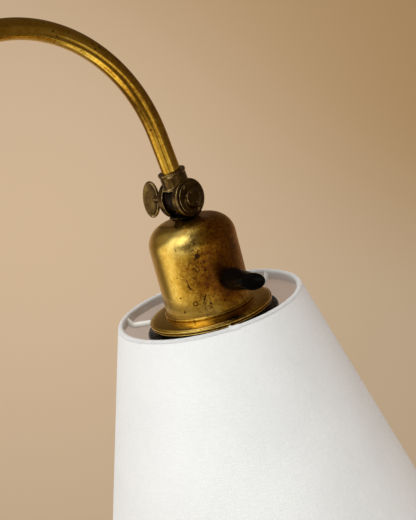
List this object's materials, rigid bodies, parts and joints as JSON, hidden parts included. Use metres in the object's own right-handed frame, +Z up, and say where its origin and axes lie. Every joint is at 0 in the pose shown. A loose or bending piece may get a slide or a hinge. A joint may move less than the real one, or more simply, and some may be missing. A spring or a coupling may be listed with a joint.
{
  "type": "bridge floor lamp",
  "caption": "Brass bridge floor lamp: weighted round base, sliding two-part column, crook arm, knuckle joint, bell with turn-key lampholder and white cone shade.",
  "frame": {"origin": "centre of the base's underside, on the floor", "axes": "+Z up along the column, +X the way the crook arm reaches, +Y the side the thumb screws are on"},
  "size_m": [0.4974, 0.25, 1.3804],
  "materials": {
    "felt": "matt felt",
    "cast_iron": "rough cast, dark",
    "brass": "spun and polished, lacquered",
    "tube_brass": "drawn tube, aged lacquer with small pits",
    "aged_brass": "aged lacquer, brown mottling",
    "ring_brass": "spun, worn edge",
    "dark_bronze": "dark patina, worn edges",
    "steel": "zinc plated",
    "fibre": "red-brown fibre",
    "black_resin": "moulded, glossy",
    "ceramic": "glazed white",
    "spring_bronze": "bright",
    "opal_glass": "opal, satin",
    "cap_metal": "bright",
    "white_enamel": "white enamel on wire",
    "shade_fabric": "white laminated fabric, fine weave",
    "shade_tape": "white tape, rolled hem"
  },
  "bodies": {
    "stand": {"base_felt": "felt", "base_weight": "cast_iron", "base_cover": "brass", "base_stud": "steel", "base_washer": "steel", "base_nut": "steel", "column_plug": "brass", "column_foot": "brass", "column": "brass", "cord_bush": "black_resin", "clamp_collar": "dark_bronze"},
    "height_screw": {"height_screw": "dark_bronze"},
    "slider": {"guide_bush": "brass"},
    "arm": {"guide_clips": "steel", "arm_tube": "tube_brass", "knuckle_fork": "dark_bronze", "tilt_nut": "dark_bronze", "friction_washers": "fibre"},
    "tilt_screw": {"tilt_screw": "dark_bronze"},
    "head": {"knuckle_tongue": "dark_bronze", "stem_washer": "steel", "stem_nut": "brass", "bell": "aged_brass", "flange_ring": "ring_brass", "lip_ring": "ring_brass", "holder_cap": "black_resin", "switch_body": "black_resin", "contact_insert": "ceramic", "centre_contact": "spring_bronze", "side_contact": "spring_bronze", "terminal_screws": "steel", "thread_shell": "spring_bronze", "holder_skirt": "black_resin", "shade_ring": "black_resin", "bulb_glass": "opal_glass", "bulb_cap": "cap_metal", "bulb_insulator": "black_resin", "bulb_contact": "cap_metal", "shade_carrier": "white_enamel", "shade_bottom_ring": "white_enamel", "shade_cover": "shade_fabric", "top_tape": "shade_tape", "bottom_tape": "shade_tape"},
    "key": {"switch_spindle": "steel", "switch_key": "black_resin"}
  },
  "joints": [
    {"name": "height_screw_turn", "type": "hinge", "parent": "stand", "child": "height_screw", "pos_m": [0, 0.0155, 0.914], "axis": [0, 1, 0], "range_deg": [0, 180]},
    {"name": "height_slide", "type": "slide", "parent": "stand", "child": "slider", "axis": [0, 0, 1], "range_m": [-0.35, 0.25]},
    {"name": "arm_swivel", "type": "hinge", "parent": "slider", "child": "arm", "pos_m": [0, 0, 0.636], "axis": [0, 0, 1], "range_deg": [-170, 170]},
    {"name": "tilt_screw_turn", "type": "hinge", "parent": "arm", "child": "tilt_screw", "pos_m": [0.16404, 0, 1.30188], "axis": [0, 1, 0], "range_deg": [0, 180]},
    {"name": "head_tilt", "type": "hinge", "parent": "arm", "child": "head", "pos_m": [0.16404, 0, 1.30188], "axis": [0, -1, 0], "range_deg": [-20, 50]},
    {"name": "key_turn", "type": "hinge", "parent": "head", "child": "key", "pos_m": [0.17867, 0, 1.26124], "axis": [-0.1309, -0.9903, -0.0471], "continuous": true}
  ]
}
